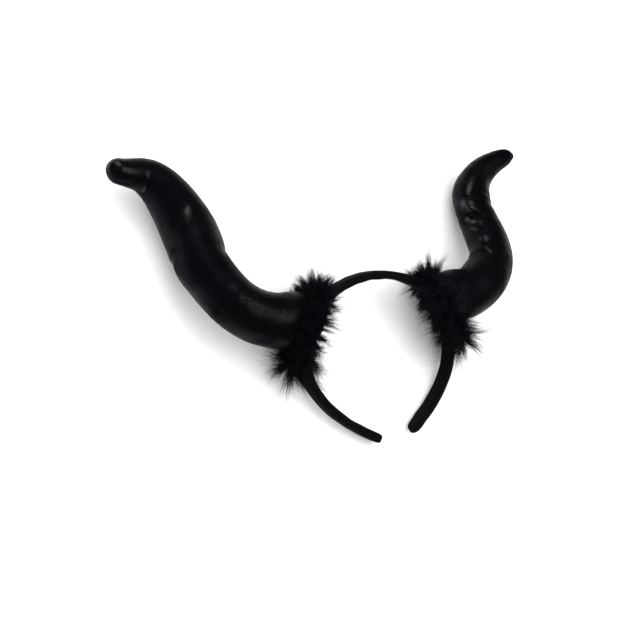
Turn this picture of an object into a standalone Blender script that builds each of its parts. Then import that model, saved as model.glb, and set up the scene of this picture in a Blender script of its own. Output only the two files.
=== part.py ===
"""Headband with two stuffed horns, each ringed by marabou down at its root, lying on its back.

Everything is first worked out as the band is worn: X runs from ear to ear, Y from the front
to the back and Z up to the crown, with the origin midway between the ends of the band. The
whole is then laid on its back, so that it touches the floor under both horns and under an
end of the band. Units are metres.
"""

import math

import bmesh
import bpy
import numpy as np
from mathutils import Matrix

# Band: a padded strip bent into an open loop
BAND_HALF_SPAN = 0.068
BAND_RISE = 0.117
BAND_LEAN = 0.0229
BAND_SWAY = 0.0022
BAND_WIDTH = 0.0110
BAND_THICKNESS = 0.0062
BAND_CORNER = 0.0019
BAND_END_RADIUS = 0.0052
BAND_PIECES = 47
BAND_END_TURNS = (14, 38, 64)
BAND_END_THINNING = 0.5
CORNER_POINTS = 3

# Bends of the band from the crown to an end, as shares of the first three sizes above. The
# sway is how far both ends are pushed to the left.
BAND_COLUMNS = ("across", "up", "back")
BAND_ROWS = (
    (0.00, 1.00, 1.00),
    (0.42, 0.96, 0.98),
    (0.88, 0.77, 0.88),
    (0.98, 0.445, 0.60),
    (0.67, 0.18, 0.27),
    (0.215, 0.00, 0.00),
)

# Horns: two stuffed panels each, seated on the outer face of the band
HORN_SEAT_UP = 0.75
HORN_FORWARD = 0.0037
HORN_OUT = 0.1196
HORN_UP = 0.1126
HORN_BACK = 0.0420
HORN_RADIUS = 0.0205
HORN_DEPTH_SHARE = 0.92
HORN_TIP_RADIUS = 0.0075
HORN_ROOT_RADIUS = 0.004
HORN_SIDES = 20
HORN_RINGS = 44
HORN_TIP_TURNS = (25, 45, 63, 78)
HORN_ROOT_TURNS = (80, 50, 20)

# Bends of each horn from root to tip: how far along, then shares of the horn sizes above
HORN_COLUMNS = ("along", "out", "back", "up", "radius")
LEFT_HORN_ROWS = (
    (0.00, 0.00, 0.00, 0.00, 0.97),
    (0.05, 0.07, 0.00, 0.04, 0.95),
    (0.14, 0.19, -0.06, 0.05, 0.93),
    (0.25, 0.375, -0.04, 0.12, 0.88),
    (0.36, 0.505, 0.10, 0.255, 0.84),
    (0.47, 0.565, 0.38, 0.41, 0.90),
    (0.58, 0.56, 0.68, 0.54, 0.95),
    (0.69, 0.61, 0.91, 0.735, 0.87),
    (0.79, 0.69, 1.00, 0.87, 0.73),
    (0.88, 0.79, 0.97, 0.94, 0.58),
    (0.95, 0.895, 0.89, 0.965, 0.45),
    (1.00, 1.00, 0.82, 0.99, 0.33),
)
RIGHT_HORN_ROWS = (
    (0.00, 0.00, 0.00, 0.00, 0.97),
    (0.05, 0.07, 0.00, 0.04, 0.98),
    (0.14, 0.195, -0.06, 0.05, 0.99),
    (0.25, 0.375, -0.04, 0.145, 0.98),
    (0.36, 0.49, 0.10, 0.285, 0.90),
    (0.47, 0.535, 0.38, 0.43, 0.87),
    (0.58, 0.56, 0.68, 0.58, 0.81),
    (0.69, 0.60, 0.91, 0.70, 0.82),
    (0.79, 0.675, 1.00, 0.83, 0.70),
    (0.88, 0.82, 0.97, 0.95, 0.51),
    (0.95, 0.955, 0.89, 1.00, 0.36),
    (1.00, 1.01, 0.82, 1.01, 0.24),
)

# Dents where the stuffed panels buckle: place along, turn round the horn in degrees from its
# outer curve towards the front, depth as a share of the radius, reach along and reach around
LEFT_HORN_FOLDS = (
    (0.24, 80, 0.05, 0.030, 35),
    (0.42, 20, 0.06, 0.024, 40),
    (0.50, 170, 0.05, 0.026, 45),
    (0.83, 60, 0.07, 0.020, 50),
)
RIGHT_HORN_FOLDS = (
    (0.30, 175, 0.07, 0.024, 45),
    (0.52, 150, 0.06, 0.022, 50),
    (0.60, 30, 0.07, 0.022, 50),
    (0.67, 60, 0.05, 0.020, 45),
)

# Marabou: a wrapped core round the root of each horn, with down standing out of it in locks
CORE_RADIUS = 0.0042
CORE_DROP = 0.0040
CORE_STEPS = 20
CORE_SIDES = 6
LOCK_INSET = 0.0004
LOCK_TAPER = (0.86, 0.60, 0.24)
LOCK_CURL = 0.16
LOCK_SEED = 7
LOCK_SPREAD = (0.82, 1.12)
STEEPEST_LOCK = -0.6

# Round each root, turning from the crown side through the front: the length of the locks, how
# far they lean towards the head in degrees, and how far the core lies out from the band
LOCK_COLUMNS = ("around", "length", "lean", "lift")
LEFT_LOCK_ROWS = (
    (0, 0.017, -12, 0.003),
    (60, 0.015, -20, 0.008),
    (90, 0.015, -28, 0.010),
    (150, 0.021, 14, 0.006),
    (180, 0.028, 44, 0.003),
    (210, 0.017, 26, 0.003),
    (270, 0.012, 5, 0.003),
    (360, 0.017, -12, 0.003),
)
RIGHT_LOCK_ROWS = (
    (0, 0.018, 14, 0.003),
    (15, 0.019, 30, 0.000),
    (30, 0.023, 50, -0.008),
    (60, 0.025, 52, -0.013),
    (90, 0.027, 50, -0.014),
    (120, 0.028, 48, -0.013),
    (150, 0.026, 44, -0.008),
    (165, 0.025, 38, -0.001),
    (180, 0.025, 34, 0.003),
    (220, 0.024, 34, 0.003),
    (270, 0.016, 24, 0.003),
    (310, 0.013, 5, 0.003),
    (360, 0.018, 14, 0.003),
)

# Rows of locks over the core: where each row grows on it and the angle at which it stands
# towards the tip of the horn, both in degrees, then its shares of the length and of the lean
# in the tables above
LOCK_TIERS = (
    (-120, -84, 0.62, 1.0),
    (-60, -52, 0.90, 1.0),
    (0, -8, 1.00, 1.0),
    (60, 42, 0.72, 0.5),
)

# Clearances
GAP = 0.0003
FLOOR_GAP = 0.0006
BAND_MARGIN = 0.004

# The band is laid on its back from this first guess, and then levelled a few times
LAID_BACK = math.radians(-68.65)
LEVELLINGS = 12
LINE_STEPS = 801

# sRGB colours
HORN_COLOUR = (0.070, 0.070, 0.085)
BAND_COLOUR = (0.065, 0.068, 0.080)
MARABOU_COLOUR = (0.040, 0.043, 0.055)
HORN_ROUGHNESS = 0.38
BAND_ROUGHNESS = 0.85
MARABOU_ROUGHNESS = 0.95
SHARP_ANGLE = math.radians(50)


def column(rows, columns, name):
    """One named column of a table."""
    return np.array([row[columns.index(name)] for row in rows], dtype=float)


def unit(vectors):
    """The vectors at length 1, along the last axis."""
    return vectors / np.linalg.norm(vectors, axis=-1, keepdims=True)


def lengths_along(points):
    """Distance along a run of points, starting at 0."""
    steps = np.linalg.norm(np.diff(points, axis=0), axis=1)
    return np.concatenate([[0.0], np.cumsum(steps)])


def read_line(line, along, places):
    """Points of a fine line at the given distances along it."""
    return np.column_stack([np.interp(places, along, values) for values in line.T])


def natural_spline(knots, values, places):
    """Natural cubic spline through the values at the knots, read at the places."""
    steps = np.diff(knots)
    count = len(knots)
    left = np.eye(count)
    right = np.zeros_like(values)
    for i in range(1, count - 1):
        left[i, i - 1 : i + 2] = (steps[i - 1], 2 * (steps[i - 1] + steps[i]), steps[i])
        slope_after = (values[i + 1] - values[i]) / steps[i]
        slope_before = (values[i] - values[i - 1]) / steps[i - 1]
        right[i] = 6 * (slope_after - slope_before)
    bend = np.linalg.solve(left, right)
    i = np.clip(np.searchsorted(knots, places, side="right") - 1, 0, count - 2)
    step = steps[i][:, None]
    before = (knots[i + 1] - places)[:, None] / step
    after = 1 - before
    curved = (before**3 - before) * bend[i] + (after**3 - after) * bend[i + 1]
    return before * values[i] + after * values[i + 1] + curved * step**2 / 6


def band_line():
    """Fine centreline of the band, from its left end over the crown, and distance along it."""
    half = np.column_stack(
        [
            column(BAND_ROWS, BAND_COLUMNS, "across") * BAND_HALF_SPAN,
            column(BAND_ROWS, BAND_COLUMNS, "back") * BAND_LEAN,
            column(BAND_ROWS, BAND_COLUMNS, "up") * BAND_RISE,
        ]
    )
    bends = np.concatenate([(half * (-1, 1, 1))[:0:-1], half])
    bends[:, 0] -= BAND_SWAY * (1 - bends[:, 2] / BAND_RISE) ** 2
    knots = lengths_along(bends)
    line = natural_spline(knots, bends, np.linspace(0, knots[-1], LINE_STEPS))
    return line, lengths_along(line)


def outward(line):
    """Direction out of the band's outer face, square to the line seen from the front."""
    run = np.gradient(line, axis=0)
    return unit(np.column_stack([-run[:, 2], np.zeros(len(line)), run[:, 0]]))


def strip_outline(half_width, half_thickness, corner):
    """Rounded rectangle as (across the strip, through the strip), a few points a corner."""
    point = np.arange(4 * CORNER_POINTS)
    turns = point // CORNER_POINTS * 90 + point % CORNER_POINTS * 90 / (CORNER_POINTS - 1)
    turns = np.radians(turns)
    across = np.repeat((1, -1, -1, 1), CORNER_POINTS) * (half_width - corner)
    across += np.cos(turns) * corner
    through = np.repeat((1, 1, -1, -1), CORNER_POINTS) * (half_thickness - corner)
    through += np.sin(turns) * corner
    return across, through


def band_rings(grow=0.0):
    """Sections of the band, grown by a clearance on every side when it serves as a cutter."""
    line, along = band_line()
    total = along[-1]
    round_turns = np.radians(BAND_END_TURNS)
    round_places = BAND_END_RADIUS * (1 - np.cos(round_turns))
    places = np.concatenate(
        [
            round_places - grow,
            np.linspace(BAND_END_RADIUS, total - BAND_END_RADIUS, BAND_PIECES + 1),
            (total - round_places + grow)[::-1],
        ]
    )
    centres = read_line(line, along, np.clip(places, 0, total))
    out = unit(read_line(outward(line), along, np.clip(places, 0, total)))
    ends = np.sin(round_turns)
    narrowing = np.concatenate([ends, np.ones(BAND_PIECES + 1), ends[::-1]])
    across, through = strip_outline(BAND_WIDTH / 2 + grow, BAND_THICKNESS / 2 + grow, BAND_CORNER)
    thinning = 1 - BAND_END_THINNING * (1 - narrowing)
    rings = centres[:, None, :] + out[:, None, :] * through[:, None] * thinning[:, None, None]
    rings[:, :, 1] += across * narrowing[:, None]
    return rings


def horn_seat(side):
    """Where a horn sits on the band's outer face, and the directions out, crown and front."""
    line, _ = band_line()
    half = slice(len(line) // 2, None) if side > 0 else slice(None, len(line) // 2 + 1)
    place = np.argmin(np.abs(line[half][:, 2] - HORN_SEAT_UP * BAND_RISE))
    out = outward(line)[half][place]
    crown = np.array((-side * out[2], 0.0, side * out[0]))
    front = np.array((0.0, -1.0, 0.0))
    seat = line[half][place] + out * BAND_THICKNESS / 2 + front * HORN_FORWARD
    return seat, out, crown, front


def horn_rings(rows, folds, side, grow=0.0):
    """Sections of a horn: ovals square to its bent line, dented at the folds, round at the tip."""
    seat, out, crown, front = horn_seat(side)
    table = np.column_stack(
        [
            column(rows, HORN_COLUMNS, "out") * HORN_OUT * side,
            column(rows, HORN_COLUMNS, "back") * HORN_BACK,
            column(rows, HORN_COLUMNS, "up") * HORN_UP,
            column(rows, HORN_COLUMNS, "radius") * HORN_RADIUS,
        ]
    )
    shares = np.linspace(0, 1, LINE_STEPS)
    line = natural_spline(column(rows, HORN_COLUMNS, "along"), table, shares)
    line[:, :3] += seat
    along = lengths_along(line[:, :3])
    total = along[-1]

    tip_turns = np.radians(HORN_TIP_TURNS)
    body = np.linspace(0, total - HORN_TIP_RADIUS, HORN_RINGS)
    tip = total - HORN_TIP_RADIUS * (1 - np.sin(tip_turns))
    places = np.concatenate([body, tip + grow])
    read = read_line(line, along, np.minimum(places, total))
    centres = read[:, :3]
    narrowing = np.concatenate([np.ones(HORN_RINGS), np.cos(tip_turns)])
    radius = (read[:, 3] + grow) * narrowing

    run = unit(np.gradient(centres, axis=0))
    outer = side * unit(np.column_stack([run[:, 2], np.zeros(len(run)), -run[:, 0]]))
    facing = unit(np.cross(outer, run)) * side
    turns = np.linspace(0, 2 * math.pi, HORN_SIDES, endpoint=False)
    share = np.interp(places, along, shares)
    dented = np.ones((len(places), HORN_SIDES))
    for along_at, around_at, depth, reach_along, reach_around in folds:
        turned = np.angle(np.exp(1j * (turns - math.radians(around_at))))
        over_turn = np.exp(-((turned / math.radians(reach_around)) ** 2))
        over_length = np.exp(-(((share - along_at) / reach_along) ** 2))
        dented -= depth * over_length[:, None] * over_turn
    reach = radius[:, None] * dented
    rings = (
        centres[:, None, :]
        + outer[:, None, :] * (np.cos(turns) * reach)[:, :, None]
        + facing[:, None, :] * (np.sin(turns) * reach * HORN_DEPTH_SHARE)[:, :, None]
    )
    root_turns = np.radians(HORN_ROOT_TURNS)[:, None, None]
    sunk = BAND_THICKNESS / 2 + grow - HORN_ROOT_RADIUS * (1 - np.sin(root_turns))
    root_radius = radius[0] - HORN_ROOT_RADIUS * (1 - np.cos(root_turns))
    root = (
        seat
        - out * sunk
        - crown * np.cos(turns)[:, None] * root_radius
        + front * np.sin(turns)[:, None] * root_radius * HORN_DEPTH_SHARE
    )
    return np.concatenate([root, rings])


def laid_down(parts):
    """Turn and shift that lay the worn parts on their back, level and centred on the floor."""
    turn = np.array(Matrix.Rotation(LAID_BACK, 3, "X"))
    for _ in range(LEVELLINGS):
        feet = [points[np.argmin(points @ turn[2])] @ turn.T for points in parts]
        normal = unit(np.cross(feet[1] - feet[0], feet[2] - feet[0]))
        normal *= np.sign(normal[2])
        level = np.array((0.0, 0.0, 1.0))
        axis = np.cross(normal, level)
        angle = math.asin(min(1.0, np.linalg.norm(axis)))
        if angle > 0:
            turn = np.array(Matrix.Rotation(angle, 3, axis.tolist())) @ turn
    everything = np.concatenate(parts) @ turn.T
    low = everything.min(axis=0)
    high = everything.max(axis=0)
    shift = -np.array(((low[0] + high[0]) / 2, (low[1] + high[1]) / 2, low[2]))
    return turn, shift


def loft(name, rings):
    """Closed mesh through rings of equal count, with a face over the first and the last."""
    count, sides = rings.shape[:2]
    ring, side = np.meshgrid(np.arange(count - 1), np.arange(sides), indexing="ij")
    after = (side + 1) % sides
    corners = (ring * sides + side, ring * sides + after)
    corners += ((ring + 1) * sides + after, (ring + 1) * sides + side)
    quads = np.stack(corners, axis=-1).reshape(-1, 4).tolist()
    caps = [list(range(sides)), list(range((count - 1) * sides, count * sides))]
    mesh = bpy.data.meshes.new(name)
    mesh.from_pydata(rings.reshape(-1, 3).tolist(), [], quads + caps)
    return closed_object(name, mesh)


def closed_object(name, mesh):
    """Object of a closed mesh, with its faces turned out and shaded smooth."""
    shape = bmesh.new()
    shape.from_mesh(mesh)
    bmesh.ops.recalc_face_normals(shape, faces=shape.faces)
    shape.to_mesh(mesh)
    shape.free()
    mesh.shade_smooth()
    mesh.set_sharp_from_angle(angle=SHARP_ANGLE)
    return bpy.data.objects.new(name, mesh)


def core_rings(rows, side):
    """Sections of the core round a horn's root, and the turn of each round the root."""
    seat, out, crown, front = horn_seat(side)
    around = np.linspace(0, 360, CORE_STEPS, endpoint=False)
    cosine = np.cos(np.radians(around))[:, None]
    sine = np.sin(np.radians(around))[:, None]
    beside = HORN_RADIUS + GAP + CORE_RADIUS + CORE_DROP * (1 - cosine) / 2
    before = HORN_RADIUS * HORN_DEPTH_SHARE + GAP + CORE_RADIUS
    turns = column(rows, LOCK_COLUMNS, "around")
    lift = np.interp(around, turns, column(rows, LOCK_COLUMNS, "lift"))[:, None]
    centres = seat + out * lift + crown * cosine * beside + front * sine * before
    radial = crown * cosine + front * sine
    section = np.radians(np.arange(CORE_SIDES) * 360 / CORE_SIDES - 90)
    spread = radial[:, None, :] * np.cos(section)[:, None] + out * np.sin(section)[:, None]
    return centres[:, None, :] + spread * CORE_RADIUS, around


def marabou(name, rows, side, turn, shift):
    """Core round a horn's root, with a lock of down grown from each face on its outer rows."""
    rings, around = core_rings(rows, side)
    points = rings @ turn.T + shift
    points[:, :, 2] = np.maximum(points[:, :, 2], FLOOR_GAP)
    shape = bmesh.new()
    grid = [[shape.verts.new(point) for point in ring] for ring in points]
    roots = []
    for i in range(CORE_STEPS):
        for j in range(CORE_SIDES):
            ring = grid[i], grid[(i + 1) % CORE_STEPS]
            after = (j + 1) % CORE_SIDES
            face = shape.faces.new((ring[0][j], ring[1][j], ring[1][after], ring[0][after]))
            middle = around[i] + 180 / CORE_STEPS
            grows_at = (j * 360 // CORE_SIDES + 120) % 360 - 180
            roots += [(face, middle, *tier) for tier in LOCK_TIERS if tier[0] == grows_at]
    bmesh.ops.recalc_face_normals(shape, faces=shape.faces)

    _, out, crown, front = horn_seat(side)
    random = np.random.default_rng(LOCK_SEED + side)
    turns, lengths, leans, _ = [column(rows, LOCK_COLUMNS, name) for name in LOCK_COLUMNS]
    before = HORN_RADIUS * HORN_DEPTH_SHARE + GAP + CORE_RADIUS
    for face, middle, grows_at, stands_at, long_share, lean_share in roots:
        wander = random.normal(size=3)
        length = np.interp(middle, turns, lengths) * long_share * random.uniform(*LOCK_SPREAD)
        lean = math.radians(stands_at - np.interp(middle, turns, leans) * lean_share)
        away = crown * math.cos(math.radians(middle)) + front * math.sin(math.radians(middle))
        aim = turn @ (away * math.cos(lean) + out * math.sin(lean))
        in_strip = abs(away[1]) * before < BAND_WIDTH / 2 + BAND_MARGIN and grows_at < 0
        if not in_strip and aim[2] > STEEPEST_LOCK:
            grow_lock(shape, face, aim, length, wander)
    mesh = bpy.data.meshes.new(name)
    shape.to_mesh(mesh)
    shape.free()
    return closed_object(name, mesh)


def grow_lock(shape, face, aim, length, wander):
    """Draws one face out into a tapering lock, bent a little to a side and kept off the floor."""
    bmesh.ops.inset_individual(shape, faces=[face], thickness=LOCK_INSET)
    corners = np.array([vertex.co for vertex in face.verts])
    centre = corners.mean(axis=0)
    for taper in LOCK_TAPER:
        face = bmesh.ops.extrude_discrete_faces(shape, faces=[face])["faces"][0]
        aim = unit(aim + wander * LOCK_CURL)
        centre = centre + aim * length / len(LOCK_TAPER)
        tapered = (corners - corners.mean(axis=0)) * taper
        centre[2] = max(centre[2], FLOOR_GAP - tapered[:, 2].min())
        for vertex, point in zip(face.verts, centre + tapered, strict=True):
            vertex.co = point


def cut(piece, cutter):
    """Takes a cutter's shape away from a piece."""
    modifier = piece.modifiers.new("clear of " + cutter.name, "BOOLEAN")
    modifier.operation = "DIFFERENCE"
    modifier.solver = "EXACT"
    modifier.object = cutter


def linear(value):
    """Linear value of an sRGB one."""
    return ((value + 0.055) / 1.055) ** 2.4 if value > 0.04045 else value / 12.92


def finish(piece, colour, roughness):
    """Gives a piece its own plain material."""
    material = bpy.data.materials.new(piece.name)
    material.use_nodes = True
    shader = material.node_tree.nodes["Principled BSDF"]
    shader.inputs["Base Color"].default_value = (*(linear(value) for value in colour), 1.0)
    shader.inputs["Roughness"].default_value = roughness
    piece.data.materials.append(material)


def add_collection(name, pieces):
    """Puts the pieces in a new collection of the scene."""
    collection = bpy.data.collections.new(name)
    bpy.context.scene.collection.children.link(collection)
    for piece in pieces:
        collection.objects.link(piece)


def main():
    """Clears the scene and builds the pieces and their cutters."""
    for old in list(bpy.data.objects):
        bpy.data.objects.remove(old)

    horns = {
        "left": (LEFT_HORN_ROWS, LEFT_HORN_FOLDS, -1),
        "right": (RIGHT_HORN_ROWS, RIGHT_HORN_FOLDS, 1),
    }
    locks = {"left": LEFT_LOCK_ROWS, "right": RIGHT_LOCK_ROWS}
    worn = [horn_rings(*horn).reshape(-1, 3) for horn in horns.values()]
    turn, shift = laid_down([*worn, band_rings().reshape(-1, 3)])

    band = loft("headband", band_rings() @ turn.T + shift)
    band_cutter = loft("band_cutter", band_rings(GAP) @ turn.T + shift)
    finish(band, BAND_COLOUR, BAND_ROUGHNESS)
    pieces = [band]
    cutters = [band_cutter]
    for name, horn in horns.items():
        body = loft("horn_" + name, horn_rings(*horn) @ turn.T + shift)
        cut(body, band_cutter)
        finish(body, HORN_COLOUR, HORN_ROUGHNESS)
        horn_cutter = loft("horn_cutter_" + name, horn_rings(*horn, GAP) @ turn.T + shift)
        down = marabou("marabou_" + name, locks[name], horn[2], turn, shift)
        cut(down, horn_cutter)
        cut(down, band_cutter)
        finish(down, MARABOU_COLOUR, MARABOU_ROUGHNESS)
        pieces += [body, down]
        cutters.append(horn_cutter)

    add_collection("horned headband", pieces)
    add_collection("cutters", cutters)
    for cutter in cutters:
        cutter.hide_render = True
        cutter.display_type = "WIRE"


main()
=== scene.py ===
# %% [markdown]
# # A horned headband with marabou down, laid on its back
#
# A costume headband: a springy strip covered in black velvet, two stuffed horns sewn from
# wet-look vinyl, and a trim of marabou down round each horn's root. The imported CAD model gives
# the frame. This lesson builds the looks round it, one piece at a time, and every surface is
# worked out with numpy from a few sizes that have names.

import math

import bpy
import numpy as np
from mathutils import Matrix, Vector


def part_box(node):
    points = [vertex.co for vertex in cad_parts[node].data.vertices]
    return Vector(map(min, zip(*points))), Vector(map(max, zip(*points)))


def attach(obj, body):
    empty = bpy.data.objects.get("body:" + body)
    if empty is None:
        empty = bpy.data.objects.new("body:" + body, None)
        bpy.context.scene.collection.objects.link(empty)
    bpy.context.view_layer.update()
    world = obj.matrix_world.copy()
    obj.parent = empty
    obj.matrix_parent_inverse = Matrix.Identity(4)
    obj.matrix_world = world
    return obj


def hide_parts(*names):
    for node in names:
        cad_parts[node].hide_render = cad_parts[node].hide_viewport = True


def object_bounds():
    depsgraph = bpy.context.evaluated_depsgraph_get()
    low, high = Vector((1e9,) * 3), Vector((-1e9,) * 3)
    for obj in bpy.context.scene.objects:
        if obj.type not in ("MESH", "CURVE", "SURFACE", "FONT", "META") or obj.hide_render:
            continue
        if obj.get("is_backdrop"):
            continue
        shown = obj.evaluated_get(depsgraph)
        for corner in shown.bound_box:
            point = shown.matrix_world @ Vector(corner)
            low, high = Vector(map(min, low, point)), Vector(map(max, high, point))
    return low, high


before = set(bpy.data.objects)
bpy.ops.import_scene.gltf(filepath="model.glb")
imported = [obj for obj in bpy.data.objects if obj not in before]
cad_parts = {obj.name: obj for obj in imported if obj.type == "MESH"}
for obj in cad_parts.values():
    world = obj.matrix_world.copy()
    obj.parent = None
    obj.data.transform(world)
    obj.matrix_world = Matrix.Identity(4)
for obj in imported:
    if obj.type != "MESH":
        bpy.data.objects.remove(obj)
cad_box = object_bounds()
MM = 0.001
print("CAD nodes:", sorted(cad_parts))

# %% [markdown]
# ## Small tools
#
# A few helpers serve every piece. The first puts numpy arrays into a mesh, which is much faster
# than adding faces one by one. The others turn a sRGB hex colour into the linear numbers that
# Blender's shaders use, add the nodes of a material and give a piece its finish.


# %% Arrays to a mesh
def new_piece(name, points, *faces):
    """A shaded-smooth object at the origin from points (n, 3) and arrays of faces (m, corners).

    The volume is the sum over all triangles of corner . (corner x corner) / 6, and it is
    negative where the faces point inwards, so then every face is turned round.
    """
    fans = [group[:, [0, i, i + 1]] for group in faces for i in range(1, group.shape[1] - 1)]
    corners = points[np.concatenate(fans)]
    volume = np.einsum("ij,ij->i", corners[:, 0], np.cross(corners[:, 1], corners[:, 2])).sum() / 6
    if volume < 0:
        faces = [group[:, ::-1] for group in faces]
    counts = np.concatenate([np.full(len(group), group.shape[1]) for group in faces])
    mesh = bpy.data.meshes.new(name)
    mesh.vertices.add(len(points))
    mesh.loops.add(int(counts.sum()))
    mesh.polygons.add(len(counts))
    mesh.vertices.foreach_set("co", points.astype(np.float32).ravel())
    loops = np.concatenate([group.ravel() for group in faces]).astype(np.int32)
    mesh.loops.foreach_set("vertex_index", loops)
    mesh.polygons.foreach_set("loop_start", (np.cumsum(counts) - counts).astype(np.int32))
    mesh.update(calc_edges=True)
    mesh.validate()
    mesh.shade_smooth()
    piece = bpy.data.objects.new(name, mesh)
    bpy.context.scene.collection.objects.link(piece)
    triangles = int((counts - 2).sum())
    print(f"{name}: {len(points)} points, {triangles} triangles, {abs(volume) * 1e6:.1f} ml")
    return piece


# %% Colours and nodes
def linear(hex_colour):
    """Linear (r, g, b, 1) of an sRGB hex: ((c + 0.055) / 1.055) ** 2.4, or c / 12.92 near black."""
    values = [int(hex_colour[i : i + 2], 16) / 255 for i in (1, 3, 5)]
    lit = [((v + 0.055) / 1.055) ** 2.4 if v > 0.04045 else v / 12.92 for v in values]
    return (*lit, 1.0)


def add_node(tree, kind, sockets=(), links=(), **settings):
    """Adds a node. settings are its properties, sockets is (name, value) pairs and links is
    (name, output) pairs, where the output comes from another node."""
    node = tree.nodes.new(kind)
    for key, value in settings.items():
        setattr(node, key, value)
    for key, value in dict(sockets).items():
        node.inputs[key].default_value = value
    for key, output in dict(links).items():
        tree.links.new(output, node.inputs[key])
    return node


def new_material(name, **sockets):
    """A Principled material, with the constants set on the shader's own sockets."""
    material = bpy.data.materials.new(name)
    material.use_nodes = True
    tree = material.node_tree
    shader = tree.nodes["Principled BSDF"]
    for key, value in sockets.items():
        shader.inputs[key.replace("_", " ")].default_value = value
    place = add_node(tree, "ShaderNodeTexCoord").outputs["Object"]
    return material, tree, shader, place


def noise(tree, place, size, detail):
    """A noise from 0 to 1 with features about size metres wide."""
    sockets = [("Scale", 1 / size), ("Detail", detail)]
    return add_node(tree, "ShaderNodeTexNoise", sockets, [("Vector", place)]).outputs["Fac"]


def remapped(tree, value, low, high, to_low, to_high):
    """The value brought from low to high over to to_low to to_high."""
    sockets = [("From Min", low), ("From Max", high), ("To Min", to_low), ("To Max", to_high)]
    return add_node(tree, "ShaderNodeMapRange", sockets, [("Value", value)]).outputs["Result"]


def combined(tree, operation, first, second):
    """Two values made into one by the operation of a Math node."""
    node = add_node(tree, "ShaderNodeMath", operation=operation)
    tree.links.new(first, node.inputs[0])
    tree.links.new(second, node.inputs[1])
    return node.outputs["Value"]


def two_tones(tree, value, dark, light):
    """The dark colour up to a value of 0.35, the light one from 0.70 on and blends between."""
    node = add_node(tree, "ShaderNodeValToRGB", links=[("Fac", value)])
    first, last = node.color_ramp.elements
    first.position, first.color = 0.35, linear(dark)
    last.position, last.color = 0.70, linear(light)
    return node.outputs["Color"]


def bumped(tree, height, strength, distance, **links):
    """A normal as if the surface rose by distance in metres where the height is 1."""
    sockets = [("Strength", strength), ("Distance", distance)]
    links = [("Height", height), *links.items()]
    return add_node(tree, "ShaderNodeBump", sockets, links).outputs["Normal"]


def wear(piece, material, node):
    """Gives a piece its finish, lets it ride on the one body and hides the CAD part it stands for.
    """
    piece.data.materials.append(material)
    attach(piece, "root")
    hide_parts(node)


# %% [markdown]
# ## The worn frame
#
# Horns and band are easiest to describe as they are worn: X from ear to ear, Y to the back, Z
# up, and the origin midway between the ends of the band. Bends are given as a few rows of
# shares of named sizes, and a natural cubic spline runs through them. At the end the whole is
# laid on its back, as the CAD model is. These sizes and rows are the CAD model's own.


# %% Splines
def unit(vectors):
    """The vectors at length 1: v / |v|."""
    return vectors / np.linalg.norm(vectors, axis=-1, keepdims=True)


def lengths_along(points):
    """Distance along a run of points: the running sum of |p[i + 1] - p[i]|, starting at 0."""
    return np.concatenate([[0.0], np.cumsum(np.linalg.norm(np.diff(points, axis=0), axis=1))])


def read_line(line, along, places):
    """Points of a fine line at the given distances along it, by straight interpolation."""
    return np.column_stack([np.interp(places, along, values) for values in line.T])


def natural_spline(knots, values, places):
    """Natural cubic spline: between two knots it is a v0 + b v1 + ((a^3 - a) m0 + (b^3 - b) m1)
    h^2 / 6, where b runs from 0 to 1, a = 1 - b, and the bends m make the slopes meet."""
    steps = np.diff(knots)
    count = len(knots)
    left = np.eye(count)
    right = np.zeros_like(values)
    slopes = np.diff(values, axis=0) / steps[:, None]
    for i in range(1, count - 1):
        left[i, i - 1 : i + 2] = (steps[i - 1], 2 * (steps[i - 1] + steps[i]), steps[i])
        right[i] = 6 * (slopes[i] - slopes[i - 1])
    bend = np.linalg.solve(left, right)
    i = np.clip(np.searchsorted(knots, places, side="right") - 1, 0, count - 2)
    step = steps[i][:, None]
    a = (knots[i + 1] - places)[:, None] / step
    b = 1 - a
    bent = (a**3 - a) * bend[i] + (b**3 - b) * bend[i + 1]
    return a * values[i] + b * values[i + 1] + bent * step**2 / 6


# %% The band's line
BAND_HALF_SPAN = 0.068
BAND_RISE = 0.117
BAND_LEAN = 0.0229
BAND_SWAY = 0.0022
BAND_WIDTH = 0.0110
BAND_THICKNESS = 0.0062
BAND_CORNER = 0.0019
BAND_END_RADIUS = 0.0052
LINE_STEPS = 801
# across, up and back, from the crown to an end
BAND_ROWS = np.array([
    (0.00, 1.00, 1.00),
    (0.42, 0.96, 0.98),
    (0.88, 0.77, 0.88),
    (0.98, 0.445, 0.60),
    (0.67, 0.18, 0.27),
    (0.215, 0.00, 0.00),
])


def band_line():
    """Spline through the rows and their mirror image, with the ends swayed to the left by
    SWAY (1 - up)^2, and distance along it."""
    half = BAND_ROWS[:, (0, 2, 1)] * (BAND_HALF_SPAN, BAND_LEAN, BAND_RISE)
    bends = np.concatenate([(half * (-1, 1, 1))[:0:-1], half])
    bends[:, 0] -= BAND_SWAY * (1 - bends[:, 2] / BAND_RISE) ** 2
    knots = lengths_along(bends)
    line = natural_spline(knots, bends, np.linspace(0, knots[-1], LINE_STEPS))
    return line, lengths_along(line)


BAND_LINE, BAND_ALONG = band_line()
BAND_RUN = np.gradient(BAND_LINE, axis=0)
BAND_OUT = unit(np.column_stack([-BAND_RUN[:, 2], np.zeros(LINE_STEPS), BAND_RUN[:, 0]]))
print(f"the band is {BAND_ALONG[-1] * 1000:.1f} mm long")

# %% The horns' lines
HORN_SEAT_UP = 0.75
HORN_FORWARD = 0.0037
HORN_OUT = 0.1196
HORN_UP = 0.1126
HORN_BACK = 0.0420
HORN_RADIUS = 0.0205
HORN_DEPTH_SHARE = 0.92
HORN_TIP_RADIUS = 0.0075
HORN_ROOT_RADIUS = 0.004
GAP = 0.0003
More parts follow.
